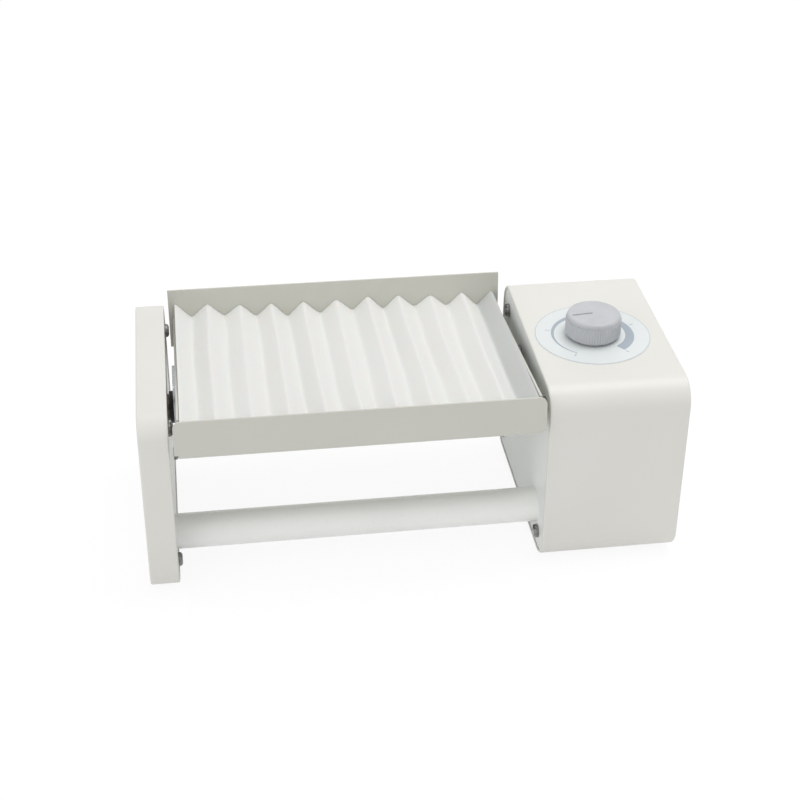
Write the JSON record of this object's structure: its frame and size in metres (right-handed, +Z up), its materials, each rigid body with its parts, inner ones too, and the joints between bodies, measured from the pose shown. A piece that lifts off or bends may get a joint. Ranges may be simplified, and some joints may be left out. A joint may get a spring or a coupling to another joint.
{
  "type": "tube rocker",
  "caption": "Bench rocker that see-saws a foam-lined tray of sample tubes between an end post and a motor housing with a speed knob.",
  "frame": {"origin": "on the bench plane under the feet, at the middle of the overall width and depth", "axes": "+X along the instrument from the end post to the drive housing, +Y to the back, +Z up"},
  "size_m": [0.3626, 0.178, 0.1558],
  "materials": {
    "body_paint": "semi-gloss powder coat, warm light gray",
    "panel_paint": "semi-gloss powder coat, light gray",
    "tray_paint": "semi-gloss powder coat, light gray",
    "bar_paint": "satin powder coat",
    "foam": "soft matt foam, white",
    "black_screw": "black oxide, slightly glossy",
    "black_collar": "black, satin",
    "foot_rubber": "matt black",
    "knob_plastic": "satin moulded gray",
    "dial_print": "printed film, pale with a gray arc",
    "cast_aluminium": "turned, satin",
    "bright_steel": "zinc plated",
    "steel": "ground and plated",
    "motor_case": "plated can",
    "board_laminate": "green solder mask",
    "board_parts": "black moulded",
    "socket_plastic": "black moulded",
    "bush_bronze": "sintered bronze",
    "pinion_brass": "cut brass"
  },
  "bodies": {
    "stand": {"post_shell": "body_paint", "post_panel": "panel_paint", "housing_shell": "body_paint", "drive_panel": "panel_paint", "outer_panel": "panel_paint", "panel_spacers": "cast_aluminium", "panel_screws": "black_screw", "bearing_screws": "black_screw", "crossbar": "bar_paint", "crossbar_plugs": "cast_aluminium", "crossbar_washers": "steel", "crossbar_bolts": "steel", "rubber_feet": "foot_rubber", "foot_screws": "steel", "idle_bush": "bush_bronze", "bearing_housing": "cast_aluminium", "ball_bearings": "steel", "bearing_spacer_ring": "steel", "bearing_retaining_ring": "steel", "gear_motor": "motor_case", "motor_bracket": "bright_steel", "motor_screws": "steel", "bracket_foot_screws": "steel", "dial_plate": "dial_print", "potentiometer": "steel", "potentiometer_nut": "bright_steel", "board_standoffs": "steel", "control_board": "board_laminate", "board_screws": "steel", "board_components": "board_parts", "power_socket": "socket_plastic", "power_socket_nut": "steel"},
    "rocking_tray": {"tray": "tray_paint", "wave_mat": "foam", "idle_pivot_plate": "steel", "drive_pivot_plate": "steel", "plate_rivets": "steel", "idle_hub": "black_collar", "drive_hub": "black_collar", "hub_screws": "steel", "idle_pin": "steel", "idle_clip": "steel", "drive_shaft": "steel", "driven_gear": "steel", "gear_grub_screw": "steel"},
    "pinion": {"motor_pinion": "pinion_brass", "motor_shaft": "steel"},
    "knob": {"speed_knob": "knob_plastic", "potentiometer_shaft": "steel", "knob_grub_screw": "steel"}
  },
  "joints": [
    {"name": "tray_rock", "type": "hinge", "parent": "stand", "child": "rocking_tray", "pos_m": [0, -0.00332, 0.098], "axis": [1, 0, 0], "range_deg": [-3.3, 16.7]},
    {"name": "pinion_spin", "type": "hinge", "parent": "stand", "child": "pinion", "pos_m": [0.111, 0.01468, 0.06682], "axis": [1, 0, 0], "range_deg": [-50.5, 10.5]},
    {"name": "speed_knob_turn", "type": "hinge", "parent": "stand", "child": "knob", "pos_m": [0.1297, -0.01052, 0.14], "axis": [0, 0, 1], "range_deg": [-240, 49.5]}
  ],
  "couplings": [
    {"joint": "pinion_spin", "follows": "tray_rock", "ratio": -3}
  ]
}
